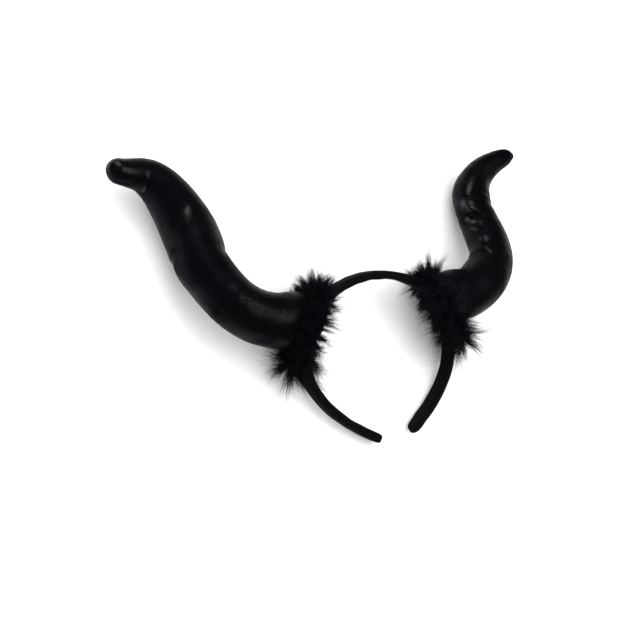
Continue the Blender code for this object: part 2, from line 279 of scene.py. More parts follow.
# along, out, back, up and radius, from root to tip
HORN_ROWS = {
    "left": np.array([
        (0.00, 0.00, 0.00, 0.00, 0.97),
        (0.05, 0.07, 0.00, 0.04, 0.95),
        (0.14, 0.19, -0.06, 0.05, 0.93),
        (0.25, 0.375, -0.04, 0.12, 0.88),
        (0.36, 0.505, 0.10, 0.255, 0.84),
        (0.47, 0.565, 0.38, 0.41, 0.90),
        (0.58, 0.56, 0.68, 0.54, 0.95),
        (0.69, 0.61, 0.91, 0.735, 0.87),
        (0.79, 0.69, 1.00, 0.87, 0.73),
        (0.88, 0.79, 0.97, 0.94, 0.58),
        (0.95, 0.895, 0.89, 0.965, 0.45),
        (1.00, 1.00, 0.82, 0.99, 0.33),
    ]),
    "right": np.array([
        (0.00, 0.00, 0.00, 0.00, 0.97),
        (0.05, 0.07, 0.00, 0.04, 0.98),
        (0.14, 0.195, -0.06, 0.05, 0.99),
        (0.25, 0.375, -0.04, 0.145, 0.98),
        (0.36, 0.49, 0.10, 0.285, 0.90),
        (0.47, 0.535, 0.38, 0.43, 0.87),
        (0.58, 0.56, 0.68, 0.58, 0.81),
        (0.69, 0.60, 0.91, 0.70, 0.82),
        (0.79, 0.675, 1.00, 0.83, 0.70),
        (0.88, 0.82, 0.97, 0.95, 0.51),
        (0.95, 0.955, 0.89, 1.00, 0.36),
        (1.00, 1.01, 0.82, 1.01, 0.24),
    ]),
}
# place along, turn in degrees, depth in radii, reach along and reach around in degrees
HORN_FOLDS = {
    "left": [
        (0.24, 80, 0.05, 0.030, 35),
        (0.42, 20, 0.06, 0.024, 40),
        (0.50, 170, 0.05, 0.026, 45),
        (0.83, 60, 0.07, 0.020, 50),
    ],
    "right": [
        (0.30, 175, 0.07, 0.024, 45),
        (0.52, 150, 0.06, 0.022, 50),
        (0.60, 30, 0.07, 0.022, 50),
        (0.67, 60, 0.05, 0.020, 45),
    ],
}
SIDES = {"left": -1, "right": 1}


def horn_seat(side):
    """Where a horn sits: the point of the band's outer face at SEAT_UP of its rise, and the
    directions out of the band, towards the crown and to the front."""
    half = slice(LINE_STEPS // 2, None) if side > 0 else slice(None, LINE_STEPS // 2 + 1)
    place = np.argmin(np.abs(BAND_LINE[half][:, 2] - HORN_SEAT_UP * BAND_RISE))
    out = BAND_OUT[half][place]
    crown = np.array((-side * out[2], 0.0, side * out[0]))
    front = np.array((0.0, -1.0, 0.0))
    seat = BAND_LINE[half][place] + out * BAND_THICKNESS / 2 + front * HORN_FORWARD
    return seat, out, crown, front


def horn_surface(name, rings, sides, tip_turns, root_turns):
    """Ovals square to the horn's line, (ring, turn, xyz): centre + cos(turn) r outer +
    sin(turn) 0.92 r facing, where outer lies in the plane of the bend and facing is the front.
    The radius falls as cos(tip turn) over the tip, and the root turns in to the band.
    Returns the grid, its place along the horn from 0 to 1 and the horn's length."""
    side = SIDES[name]
    seat, out, crown, front = horn_seat(side)
    rows = HORN_ROWS[name]
    sizes = (side * HORN_OUT, HORN_BACK, HORN_UP, HORN_RADIUS)
    shares = np.linspace(0, 1, LINE_STEPS)
    line = natural_spline(rows[:, 0], rows[:, 1:] * sizes, shares)
    line[:, :3] += seat
    along = lengths_along(line[:, :3])
    total = along[-1]
    tip_turns = np.radians(tip_turns)
    places = np.concatenate([
        np.linspace(0, total - HORN_TIP_RADIUS, rings),
        total - HORN_TIP_RADIUS * (1 - np.sin(tip_turns)),
    ])
    read = read_line(line, along, places)
    centres = read[:, :3]
    radius = read[:, 3] * np.concatenate([np.ones(rings), np.cos(tip_turns)])
    run = unit(np.gradient(centres, axis=0))
    outer = side * unit(np.column_stack([run[:, 2], np.zeros(len(run)), -run[:, 0]]))
    facing = side * unit(np.cross(outer, run))
    turns = np.linspace(0, 2 * math.pi, sides, endpoint=False)
    share = np.interp(places, along, shares)
    dented = np.ones((len(places), sides))
    for along_at, around_at, depth, reach_along, reach_around in HORN_FOLDS[name]:
        turned = np.angle(np.exp(1j * (turns - math.radians(around_at))))
        over_turn = np.exp(-((turned / math.radians(reach_around)) ** 2))
        dented -= depth * np.exp(-(((share - along_at) / reach_along) ** 2))[:, None] * over_turn
    reach = radius[:, None] * dented
    body = (
        centres[:, None, :]
        + outer[:, None, :] * (np.cos(turns) * reach)[:, :, None]
        + facing[:, None, :] * (np.sin(turns) * reach * HORN_DEPTH_SHARE)[:, :, None]
    )
    root_turns = np.radians(root_turns)[:, None, None]
    sunk = BAND_THICKNESS / 2 - HORN_ROOT_RADIUS * (1 - np.sin(root_turns))
    root_radius = radius[0] - HORN_ROOT_RADIUS * (1 - np.cos(root_turns))
    root = (
        seat - out * sunk
        - crown * np.cos(turns)[:, None] * root_radius
        + front * np.sin(turns)[:, None] * root_radius * HORN_DEPTH_SHARE
    )
    share = np.concatenate([np.zeros(len(root)), share])
    return np.concatenate([root, body]), share, total


# %% [markdown]
# ## Laying it on its back
#
# The CAD model was turned back and then levelled on the lowest points of both horns and of the
# band. The same steps on the same points give the same turn here, so each new piece falls where
# its CAD solid is. The boxes printed below show how well they agree.


# %% Turn and shift
# the steps in which the CAD model draws its horns and its band
CAD_RINGS = 44
CAD_SIDES = 20
CAD_TIP_TURNS = (25, 45, 63, 78)
CAD_ROOT_TURNS = (80, 50, 20)
CAD_BAND_PIECES = 47
CAD_ROUND_TURNS = (14, 38, 64)
CAD_CORNER_STEPS = 2
LAID_BACK = math.radians(-68.65)
LEVELLINGS = 12


def strip_outline(half_width, half_thickness, corner, steps):
    """Rounded rectangle as (across, through): corner centres plus corner (cos, sin), with so
    many steps a corner."""
    count = steps + 1
    index = np.arange(4 * count)
    turns = np.radians(index // count * 90 + index % count * 90 / steps)
    across = np.repeat((1, -1, -1, 1), count) * (half_width - corner) + np.cos(turns) * corner
    through = np.repeat((1, 1, -1, -1), count) * (half_thickness - corner) + np.sin(turns) * corner
    return across, through


def band_surface(pieces, round_turns, corner_steps):
    """Strip sections along the band, (ring, point, xyz): line + out through + Y across, each
    narrowed by sin(turn) over the rounded ends."""
    total = BAND_ALONG[-1]
    round_turns = np.radians(round_turns)
    round_places = BAND_END_RADIUS * (1 - np.cos(round_turns))
    middle = np.linspace(BAND_END_RADIUS, total - BAND_END_RADIUS, pieces + 1)
    places = np.concatenate([round_places, middle, (total - round_places)[::-1]])
    centres = read_line(BAND_LINE, BAND_ALONG, places)
    out = unit(read_line(BAND_OUT, BAND_ALONG, places))
    ends = np.sin(round_turns)
    narrowing = np.concatenate([ends, np.ones(pieces + 1), ends[::-1]])
    across, through = strip_outline(BAND_WIDTH / 2, BAND_THICKNESS / 2, BAND_CORNER, corner_steps)
    thinning = 0.5 + 0.5 * narrowing
    rings = centres[:, None, :] + out[:, None, :] * (through * thinning[:, None])[:, :, None]
    rings[:, :, 1] += across * narrowing[:, None]
    return rings, places


def laid_down(parts):
    """Turn and shift onto the floor: turned back first, then turned so that the plane through
    the lowest point of each part is level, again and again, then centred."""
    turn = np.array(Matrix.Rotation(LAID_BACK, 3, "X"))
    for _ in range(LEVELLINGS):
        feet = [points[np.argmin(points @ turn[2])] @ turn.T for points in parts]
        normal = unit(np.cross(feet[1] - feet[0], feet[2] - feet[0]))
        normal *= np.sign(normal[2])
        axis = np.cross(normal, (0.0, 0.0, 1.0))
        angle = math.asin(min(1.0, np.linalg.norm(axis)))
        if angle > 0:
            turn = np.array(Matrix.Rotation(angle, 3, axis.tolist())) @ turn
    everything = np.concatenate(parts) @ turn.T
    low = everything.min(axis=0)
    high = everything.max(axis=0)
    return turn, -np.array(((low[0] + high[0]) / 2, (low[1] + high[1]) / 2, low[2]))


cad_shapes = [
    horn_surface(name, CAD_RINGS, CAD_SIDES, CAD_TIP_TURNS, CAD_ROOT_TURNS)[0] for name in SIDES
]
cad_shapes.append(band_surface(CAD_BAND_PIECES, CAD_ROUND_TURNS, CAD_CORNER_STEPS)[0])
TURN, SHIFT = laid_down([shape.reshape(-1, 3) for shape in cad_shapes])


def lay(points):
    """Worn points, laid on the back: turned and then shifted."""
    return points @ TURN.T + SHIFT


for node, shape in zip(("horn_left", "horn_right", "headband"), cad_shapes, strict=True):
    low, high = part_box(node)
    flat = lay(shape.reshape(-1, 3))
    apart = max(np.abs(flat.min(0) - low).max(), np.abs(flat.max(0) - high).max())
    print(f"{node}: its box here and in the CAD model differ by {apart * 1000:.3f} mm")

# %% [markdown]
# ## Noise for cloth
#
# Stuffing is never even, and coated cloth lies in small waves. A sum of many sine waves with
# seeded directions makes both: long waves for the lumps, short ones for the wrinkles. Stretching
# the waves' own space makes wrinkles that run one way.


# %% Waves
def waves(points, length, seed, count=24, stretch=(1, 1, 1)):
    """Sum of sines, about -1 to 1: sin(2 pi q . p / length + phase), where q is a random
    direction times 0.7 to 1.4, and stretch squeezes the pattern along each axis."""
    random = np.random.default_rng(seed)
    ways = unit(random.normal(size=(count, 3))) * random.uniform(0.7, 1.4, (count, 1))
    phases = random.uniform(0, 2 * math.pi, count)
    total = np.sin(2 * math.pi / length * (points @ (ways * stretch).T) + phases).sum(axis=-1)
    return total / math.sqrt(count)


def bell(distance, reach):
    """exp(-(distance / reach)^2)."""
    return np.exp(-((distance / reach) ** 2))


def turned_from(turns, start):
    """How far the turns are from start, from -180 to 180 degrees."""
    return (turns - start + 180) % 360 - 180


def eased(share, root, tip):
    """0 at both ends of a horn, and 1 from the share root to the share 1 - tip along it."""
    return np.clip(share / root, 0, 1) * np.clip((1 - share) / tip, 0, 1)


# %% [markdown]
# ## The horns
#
# Each real horn is two S-shaped panels of wet-look vinyl, sewn along the inner and the outer
# curve, turned right side out and stuffed with fibre. The seams pull in and pucker, the inside
# of each bend buckles crosswise, and the stuffing shows as soft lumps. They could be sculpted,
# or swelled by a cloth simulation from flat panels, but then the outline would wander from the
# CAD solid. So the solid's own ovals are drawn on a fine grid, and the creases and the sewn
# details are added along the surface's normals. A small cloth simulation then lets the cover
# settle. Its stiffness evens out nearly all of the move, and the cover goes in or out by less
# than a tenth of a millimetre, so the folds that show come from the rows of creases.

# %% Creases
HORN_RINGS = 340
HORN_SIDES = 132
# place along, turn in degrees, depth and width in mm, half length in degrees, slant in mm a degree
HORN_CREASES = {
    "left": [
        (0.872, 66, 0.8, 2.2, 40, 0.05),
        (0.655, 66, 0.7, 3.4, 26, 0.18),
        (0.515, 330, 0.7, 3.0, 28, 0.00),
        (0.345, 70, 0.8, 2.6, 36, -0.03),
    ],
    "right": [
        (0.628, 150, 0.5, 1.6, 28, 0.20),
        (0.545, 150, 1.1, 2.4, 34, 0.26),
        (0.455, 150, 0.8, 2.0, 34, 0.28),
        (0.345, 148, 0.5, 2.2, 22, 0.30),
        (0.299, 210, 0.8, 3.0, 30, 0.00),
    ],
}
SEAM_DEPTH = 0.12 * MM
SEAM_WIDTH = 0.9 * MM
PUCKER_DEPTH = 0.08 * MM
PUCKER_SPACING = 6.5 * MM
PUCKER_REACH = 5.0 * MM
LUMP_DEPTH = 0.36 * MM
LUMP_LENGTH = 34 * MM
WRINKLE_DEPTH = 0.045 * MM
WRINKLE_LENGTH = 6.0 * MM
WRINKLE_PATCH = 30 * MM
# the cloth that a crease pushes up beside it, in shares of the crease's depth and width
PUSHED_HEIGHT = 0.5
PUSHED_APART = 1.9
PUSHED_WIDTH = 1.5


def horn_details(name, grid, share, total):
    """Height of the details in metres over the grid: creases - depth bell(u) + pushed height
    bell(u - pushed apart), where u is the distance along from a slanted line, a groove and
    puckers that die away from each seam, lumps, and fine waves in patches."""
    rings, sides = grid.shape[:2]
    turns = np.degrees(np.linspace(0, 2 * math.pi, sides, endpoint=False))
    height = np.zeros((rings, sides))
    for along_at, around_at, depth, width, reach, slant in HORN_CREASES[name]:
        turned = turned_from(turns, around_at)
        distance = (share[:, None] - along_at) * total - slant * MM * turned
        ends = bell(turned, reach)
        height -= depth * MM * bell(distance, width * MM) * ends
        beside = bell(distance - PUSHED_APART * width * MM, PUSHED_WIDTH * width * MM)
        height += PUSHED_HEIGHT * depth * MM * beside * ends
    girth = np.linalg.norm(grid - np.roll(grid, 1, axis=1), axis=2).sum(axis=1)
    for seam_turn, seed in ((0, 11), (180, 12)):
        turned = turned_from(turns, seam_turn)
        beside = np.abs(turned)[None, :] / 360 * girth[:, None]
        spots = np.column_stack([share * total, share * 0, share * 0 + seam_turn])
        pucker = waves(spots, PUCKER_SPACING, seed + SIDES[name], count=8)[:, None]
        height -= SEAM_DEPTH * bell(beside, SEAM_WIDTH)
        height += PUCKER_DEPTH * pucker * np.exp(-beside / PUCKER_REACH)
    height += LUMP_DEPTH * waves(grid, LUMP_LENGTH, 31 + SIDES[name])
    patchy = 0.6 + 0.6 * np.clip(waves(grid, WRINKLE_PATCH, 41 + SIDES[name]), -0.8, 1)
    height += WRINKLE_DEPTH * patchy * waves(grid, WRINKLE_LENGTH, 51 + SIDES[name], count=40)
    return height


# %% Keeping off the band
# only each fourth point of the band's line is tried, which is close enough
LINE_STRIDE = 4


def off_band(points, clearance):
    """Moves points that are in the strip out through its outer face: out . (p - line) becomes
    half the thickness + clearance where |across| is under half the width + clearance."""
    flat = points.reshape(-1, 3)
    tried = BAND_LINE[None, ::LINE_STRIDE, (0, 2)]
    near = np.argmin(((flat[:, None, (0, 2)] - tried) ** 2).sum(-1), axis=1) * LINE_STRIDE
    apart = flat - BAND_LINE[near]
    through = (apart * BAND_OUT[near]).sum(axis=1)
    needed = BAND_THICKNESS / 2 + clearance
    inside = (np.abs(apart[:, 1]) < BAND_WIDTH / 2 + clearance) & (np.abs(through) < needed)
    flat = flat + BAND_OUT[near] * np.where(inside, needed - through, 0)[:, None]
    return flat.reshape(points.shape)


# %% Grid to faces
def tube_faces(rings, sides):
    """Quads of a tube of rings, and fans of triangles from the two poles, which are the last
    two points."""
    ring, side = np.meshgrid(np.arange(rings - 1), np.arange(sides), indexing="ij")
    after = (side + 1) % sides
    corners = [ring * sides + side, ring * sides + after]
    corners += [(ring + 1) * sides + after, (ring + 1) * sides + side]
    quads = np.stack(corners, axis=-1).reshape(-1, 4)
    around = np.arange(sides)
    first = np.column_stack([np.full(sides, rings * sides), (around + 1) % sides, around])
    last = np.column_stack([np.full(sides, rings * sides + 1), around, (around + 1) % sides])
    last[:, 1:] += (rings - 1) * sides
    return quads, np.concatenate([first, last])


def tube(name, grid):
    """A closed tube over a grid of rings, with a pole at the middle of each end ring. What would
    be under the floor is pressed flat onto it."""
    poles = np.stack([grid[0].mean(axis=0), grid[-1].mean(axis=0)])
    points = lay(np.concatenate([grid.reshape(-1, 3), poles]))
    points[:, 2] = np.maximum(points[:, 2], 0)
    return new_piece(name, points, *tube_faces(*grid.shape[:2]))


def grid_normals(grid):
    """Outward normals of a tube grid: the cross product of its slopes round and along."""
    along = np.gradient(grid, axis=0)
    around = np.roll(grid, -1, axis=1) - np.roll(grid, 1, axis=1)
    normals = np.cross(around, along)
    normals /= np.maximum(np.linalg.norm(normals, axis=2, keepdims=True), 1e-12)
    away = grid - grid.mean(axis=1, keepdims=True)
    return normals * np.sign((normals * away).sum())


# %% Settling the cover
SLACK_EVERYWHERE = 0.006
SLACK_AT_CREASES = 0.028
SLACK_REACH_ALONG = 0.035
SLACK_REACH_ROUND = 0.9
SETTLE_ROUNDS = 150
STIFFNESS = 0.35
MOST_MOVE = 0.9 * MM
FINISHING_ROUNDS = 14
FIRST_WAVE = 0.08 * MM
FIRST_WAVE_LENGTH = 12 * MM
HELD_ROOT = 0.05
HELD_TIP = 0.08


def slack_of(name, share, turns):
    """How much too long the cover is along the horn: a little everywhere and more round each
    crease, as a bell over place and turn. Round the horn its reach is a share of the crease's
    half length."""
    slack = np.full((len(share), len(turns)), SLACK_EVERYWHERE)
    for along_at, around_at, _, _, reach, _ in HORN_CREASES[name]:
        turned = turned_from(turns, around_at)
        near = bell(share[:, None] - along_at, SLACK_REACH_ALONG)
        slack += SLACK_AT_CREASES * (near * bell(turned, reach * SLACK_REACH_ROUND))
    return slack


def pull(cover, first, second, rest):
    """Moves the two ends of each thread by half of what it is too long or too short."""
    apart = cover[second] - cover[first]
    length = np.linalg.norm(apart, axis=-1, keepdims=True)
    step = apart * (0.5 * (1 - rest[..., None] / np.maximum(length, 1e-9)))
    cover[first] += step
    cover[second] -= step


def evened(move):
    """Each move blended with the mean of its four neighbours, by the stiffness."""
    mean = (np.roll(move, 1, axis=1) + np.roll(move, -1, axis=1)) / 4
    mean[1:-1] += (move[:-2] + move[2:]) / 4
    mean[[0, -1]] *= 2
    return move + STIFFNESS * (mean - move)


def settle(name, grid, share):
    """A cloth simulation of the cover over its stuffing. Threads along the horn are slack and
    threads round it are not. Each round, every thread pulls or pushes its two ends, the fabric's
    stiffness evens out the move, and both ends of the horn hold. At the end the stiffness alone
    takes out ripples that are too short for coated fabric. Little of the move is left then. With
    more slack and less evening out, the outline broke up into spikes."""
    rings, sides = grid.shape[:2]
    normals = grid_normals(grid)
    slack = slack_of(name, share, np.arange(sides) * 360 / sides)
    rest_along = np.linalg.norm(np.diff(grid, axis=0), axis=2) * (1 + slack[1:])
    rest_around = np.linalg.norm(np.roll(grid, -1, axis=1) - grid, axis=2)
    held = eased(share, HELD_ROOT, HELD_TIP)[:, None, None]
    every = slice(None)
    move = normals * (FIRST_WAVE * waves(grid, FIRST_WAVE_LENGTH, 97 + SIDES[name]))[:, :, None]
    for _ in range(SETTLE_ROUNDS):
        cover = grid + move
        for start in (0, 1):
            low = np.arange(start, rings - 1, 2)
            pull(cover, low, low + 1, rest_along[low])
            near = np.arange(start, sides, 2)
            pull(cover, (every, near), (every, (near + 1) % sides), rest_around[:, near])
        move = evened(evened(evened(cover - grid))) * held
        size = np.linalg.norm(move, axis=2, keepdims=True)
        move *= np.minimum(1, MOST_MOVE / np.maximum(size, 1e-9))
    for _ in range(FINISHING_ROUNDS):
        move = evened(move)
    lift = (move * normals).sum(axis=2) * 1000
    print(f"the {name} cover moved {lift.min():.2f} to {lift.max():.2f} mm")
    return grid + move


# %% Where the cover is pulled tight
# from and to, each as place along and turn in degrees, then width in mm and tightness
TIGHT_PLACES = {
    "left": [
        (0.905, 112, 0.882, 58, 1.9, 0.60),
        (0.872, 84, 0.820, 62, 1.5, 0.20),
        (0.992, 128, 0.958, 106, 4.8, 0.70),
        (0.676, 94, 0.632, 50, 2.8, 1.00),
        (0.600, 92, 0.545, 80, 5.0, 0.06),
        (0.318, 98, 0.100, 90, 9.5, 0.34),
    ],
    "right": [
        (0.835, 122, 0.640, 150, 2.2, 1.00),
        (0.606, 162, 0.572, 144, 4.4, 1.00),
        (0.532, 172, 0.490, 140, 2.2, 0.90),
        (0.480, 168, 0.435, 136, 1.2, 0.60),
        (0.400, 154, 0.384, 148, 2.8, 1.00),
        (0.342, 156, 0.312, 138, 1.6, 0.70),
    ],
}


def tightness(name, grid, share, total):
    """0 to 1 over the grid: a bell over the distance to each line, in mm along the horn and
    round it at its mean radius there."""
    sides = grid.shape[1]
    radius = np.linalg.norm(grid - grid.mean(axis=1, keepdims=True), axis=2).mean(axis=1)
    turns = np.arange(sides) * 360 / sides
    tight = np.zeros(grid.shape[:2])
    for along_from, turn_from, along_to, turn_to, width, amount in TIGHT_PLACES[name]:
        x = (share[:, None] - along_from) * total
        y = np.radians(turned_from(turns, turn_from)) * radius[:, None]
        run_x = (along_to - along_from) * total
        run_y = math.radians(turn_to - turn_from) * radius.mean()
        t = np.clip((x * run_x + y * run_y) / (run_x**2 + run_y**2), 0, 1)
        apart = np.hypot(x - t * run_x, y - t * run_y)
        tight = np.maximum(tight, amount * bell(apart, width * MM))
    return tight


# %% Stuff the horns
FINE_TIP_TURNS = (10, 20, 30, 40, 50, 59, 67, 74, 80, 85, 88.5)
FINE_ROOT_TURNS = (86, 70, 55, 40, 25, 10)
PLAIN_ROOT = 0.03
PLAIN_TIP = 0.02
horns = {}
for name in SIDES:
    grid, share, total = horn_surface(name, HORN_RINGS, HORN_SIDES, FINE_TIP_TURNS, FINE_ROOT_TURNS)
    height = horn_details(name, grid, share, total) * eased(share, PLAIN_ROOT, PLAIN_TIP)[:, None]
    grid = grid + grid_normals(grid) * height[:, :, None]
    grid = settle(name, grid, share)
    horns[name] = tube("stuffed_horn_" + name, off_band(grid, GAP))
    tight = np.append(tightness(name, grid, share, total), (0, 0))
    horns[name].data.attributes.new("tightness", "FLOAT", "POINT").data.foreach_set("value", tight)
    print(f"the {name} horn is {total * 1000:.0f} mm long")

# %% [markdown]
# ## Wet-look vinyl
#
# The horns' cover is polyurethane-coated knit, sold as wet-look or faux patent leather. The
# coat is poured on release paper with a fine skin grain, so the eye gets soft, slightly broken
# highlights on near black. Colour hardly varies. Gloss does: handling has dulled the coat in
# places, and it shines where the cover is pulled tight.

# %% Vinyl material
vinyl, tree, shader, place = new_material(
    "wet-look vinyl-coated knit, black", Base_Color=linear("#050507"), IOR=1.5,
    Specular_Tint=linear("#C9D2EC"),
    Coat_Roughness=0.24, Coat_IOR=1.5, Coat_Tint=linear("#F2F5FF"),
)
gloss = remapped(tree, noise(tree, place, 0.022, 4.0), 0.3, 0.7, 0.34, 0.50)
tree.links.new(gloss, shader.inputs["Roughness"])
# handling has rubbed the coat in patches 20 mm wide, which the eye sees as a faint mottle
mottle = remapped(tree, noise(tree, place, 0.020, 3.0), 0.38, 0.62, 0.015, 0.095)
tree.links.new(mottle, shader.inputs["Specular IOR Level"])
# the coat shines where the cover is pulled tight, in specks 1.5 mm wide that join where it is
# tightest
tight = add_node(tree, "ShaderNodeAttribute", attribute_name="tightness").outputs["Fac"]
specks = remapped(tree, noise(tree, place, 0.0015, 2.0), 0.42, 0.56, 0.20, 1.0)
shine = combined(tree, "MULTIPLY", tight, combined(tree, "MAXIMUM", tight, specks))
tree.links.new(shine, shader.inputs["Coat Weight"])
# skin grain 0.9 mm wide, which is coarser than the real 0.3 mm so that it shows in the render
grain = add_node(
    tree, "ShaderNodeTexVoronoi", [("Scale", 1 / (0.9 * MM))], [("Vector", place)],
    feature="SMOOTH_F1",
).outputs["Distance"]
fine = bumped(tree, grain, 0.25, 0.08 * MM)
ripple = noise(tree, place, 0.0045, 3.0)
tree.links.new(bumped(tree, ripple, 0.5, 0.35 * MM, Normal=fine), shader.inputs["Normal"])
for name, horn in horns.items():
    wear(horn, vinyl, "horn_" + name)

# %% [markdown]
# ## The band
#
# A springy plastic strip with a layer of foam, wrapped in black velvet that is glued down along
# the middle of the inner face. It could keep its CAD solid, but that has eight-millimetre
# steps, and velvet stretched over foam is never quite even. So the same rounded strip is drawn
# on a fine grid, with faint waves where the foam gives and a seam on the inner face. The left end
# is a little plumper and the right one narrower, as in the photograph.

# %% Cover the band
BAND_RINGS = 520
BAND_WAVE = 0.12 * MM
BAND_WAVE_LENGTH = 13 * MM
BAND_SEAM = 0.30 * MM
BAND_SEAM_WIDTH = 0.5 * MM
PADDED_END = 0.030
PLUMP = 0.5 * MM
TAPERED_END = 0.016
TAPER = 0.30
FINE_ROUND_TURNS = (4, 12, 21, 30, 40, 50, 60, 70, 80)
FINE_CORNER_STEPS = 5
grid, places = band_surface(BAND_RINGS, FINE_ROUND_TURNS, FINE_CORNER_STEPS)
normals = grid_normals(grid)
centre = read_line(BAND_LINE, BAND_ALONG, places)
out = unit(read_line(BAND_OUT, BAND_ALONG, places))
across = grid[:, :, 1] - centre[:, None, 1]
inner = ((grid - centre[:, None, :]) * out[:, None, :]).sum(axis=2) < 0
height = BAND_WAVE * waves(grid, BAND_WAVE_LENGTH, 61)
height = height - BAND_SEAM * bell(across, BAND_SEAM_WIDTH) * inner
plump = np.clip(1 - places / PADDED_END, 0, 1) * np.clip(places / BAND_END_RADIUS, 0, 1)
slim = np.clip(1 - (places[-1] - places) / TAPERED_END, 0, 1)[:, None] ** 2
grid = grid + normals * (height + PLUMP * plump[:, None])[:, :, None]
grid[:, :, 1] -= across * TAPER * slim
band = tube("velvet_band", grid)

# %% [markdown]
# ## Velvet
#
# Polyester velvet is a knit with a short cut pile, and the pile swallows light face on and
# lights up at grazing angles. That is what a sheen layer does. The pile is brushed every way on
# a narrow strip, so the nap shows as fine soft specks.

# %% Velvet material
velvet, tree, shader, place = new_material(
    "polyester velvet, black", Base_Color=linear("#07080A"), Roughness=0.9, IOR=1.45,
    Specular_IOR_Level=0.08, Sheen_Weight=0.035, Sheen_Roughness=0.45, Sheen_Tint=linear("#A4B0CC"),
)
nap = noise(tree, place, 0.0016, 5.0)
tree.links.new(two_tones(tree, nap, "#040405", "#090A0D"), shader.inputs["Base Color"])
tree.links.new(bumped(tree, nap, 0.6, 0.3 * MM), shader.inputs["Normal"])
wear(band, velvet, "headband")

# %% [markdown]
# ## Marabou down
#
# Marabou is the fluff from under a turkey's wing, bound on a cord. Each plume has a soft stem
# and hundreds of fine barbs up to 25 mm long that cling together in pointed tufts. Hair
# particles could make it, but they are no mesh. Here every barb is a closed, three-sided,
# tapering tube. A tuft gathers some dozens of them round one bent line. The CAD model's locks
# stand for the tufts only roughly, because the tufts' rows were worked on after the locks' own.

# %% Where the tufts stand
FLOOR_GAP = 0.0006
HIGHEST_STRAIGHT = 0.066
CORE_RADIUS = 0.0042
CORE_DROP = 0.0040
TUFTS_ROUND = 46
TUFT_SEAT = 0.4
PLACE_SPREAD = 8
LENGTH_SPREAD = (0.85, 1.20)
LEAN_SPREAD = 10
AIM_SPREAD = 0.12
LOWEST_AIM = -0.7
# Round each root from the crown side through the front, in degrees: length in mm, how far the
# down leans to the head in degrees, and how far in mm the cord lies out from the band
ROOT_ROWS = {
    "left": np.array([
        (0, 17, -46, 3),
        (30, 16, -40, 5),
        (60, 15, -26, 8),
        (90, 15, -22, 9),
        (120, 19, -2, 6),
        (150, 19, 30, -1),
        (168, 24, 42, -4),
        (180, 35, 52, -3),
        (192, 34, 54, -5),
        (215, 18, 46, -4),
        (270, 11, 16, 2),
        (330, 15, -40, 3),
        (360, 17, -46, 3),
    ]),
    "right": np.array([
        (0, 19, 40, 2),
        (8, 20, 58, -1),
        (15, 21, 64, -4),
        (30, 23, 62, -10),
        (60, 26, 54, -13),
        (90, 28, 52, -14),
        (120, 28, 48, -13),
        (150, 28, 34, -9),
        (168, 28, 24, -7),
        (180, 25, 24, 0),
        (220, 19, 20, 3),
        (270, 14, 10, 3),
        (310, 14, 5, 3),
        (345, 17, 22, 3),
        (360, 19, 40, 2),
    ]),
}
# Rows of tufts on the cord: where it grows and how it stands towards the tip, in degrees, its
# share of the length and its share of the lean
TUFT_TIERS = np.array([
    (-150, -118, 0.60, 1.0),
    (-120, -84, 0.80, 1.0),
    (-60, -52, 0.95, 1.0),
    (0, -8, 1.00, 1.0),
    (60, 42, 0.85, 0.8),
    (120, 80, 0.70, 0.5),
    (160, 100, 0.85, 0.0),
])


def round_root(name, around, column):
    """One column of the rows at the given turns, read in between by straight lines."""
    return np.interp(around, ROOT_ROWS[name][:, 0], ROOT_ROWS[name][:, column])


def cord_line(name, around):
    """Points of the cord round the root, seat + crown cos(a) (r + core + drop) + front sin(a)
    (0.92 r + core) + out lift, and the direction away from the root there."""
    seat, out, crown, front = horn_seat(SIDES[name])
    cosine = np.cos(np.radians(around))[:, None]
    sine = np.sin(np.radians(around))[:, None]
    beside = HORN_RADIUS + GAP + CORE_RADIUS + CORE_DROP * (1 - cosine) / 2
    before = HORN_RADIUS * HORN_DEPTH_SHARE + GAP + CORE_RADIUS
    lift = round_root(name, around, 3)[:, None] * MM
    centres = seat + out * lift + crown * cosine * beside + front * sine * before
    return centres, crown * cosine + front * sine


def tuft_table(name, random):
    """Roots, aims and lengths of the tufts, in the worn frame: a tuft grows on the cord at its
    tier's first angle and stands at the second less the lean there. Each is a little off in
    place, lean and aim, and those that aim too steeply at the floor are left out."""
    out = horn_seat(SIDES[name])[1]
    tiers = np.repeat(TUFT_TIERS, TUFTS_ROUND, axis=0)
    around = np.tile(np.arange(TUFTS_ROUND) * 360 / TUFTS_ROUND, len(TUFT_TIERS))
    count = len(around)
    around = (around + random.uniform(-PLACE_SPREAD, PLACE_SPREAD, count)) % 360
    length = round_root(name, around, 1) * tiers[:, 2] * MM * random.uniform(*LENGTH_SPREAD, count)
    lean = tiers[:, 1] - tiers[:, 3] * round_root(name, around, 2)
    lean = np.radians(lean + random.normal(0, LEAN_SPREAD, count))[:, None]
    centres, away = cord_line(name, around)
    grows = np.radians(tiers[:, :1])
    roots = centres + (away * np.cos(grows) + out * np.sin(grows)) * CORE_RADIUS * TUFT_SEAT
    off = random.normal(0, AIM_SPREAD, (count, 3))
    aims = unit(away * np.cos(lean) + out * np.sin(lean) + off)
    keep = (aims @ TURN.T)[:, 2] > LOWEST_AIM
    return roots[keep], aims[keep], length[keep]


# %% Barbs of a tuft
BARBS_A_TUFT = 50
BARB_POINTS = 5
BARB_RADIUS = 0.12 * MM
TUFT_ROOT = 2.3 * MM
CLING = 0.72
SPLAY = 0.14
TUFT_BEND = 0.24
BARB_CURL = 0.055
CURL_WAVE = 5
SHORTEST_BARB = 0.40
MOSTLY_SHORT = 1.4


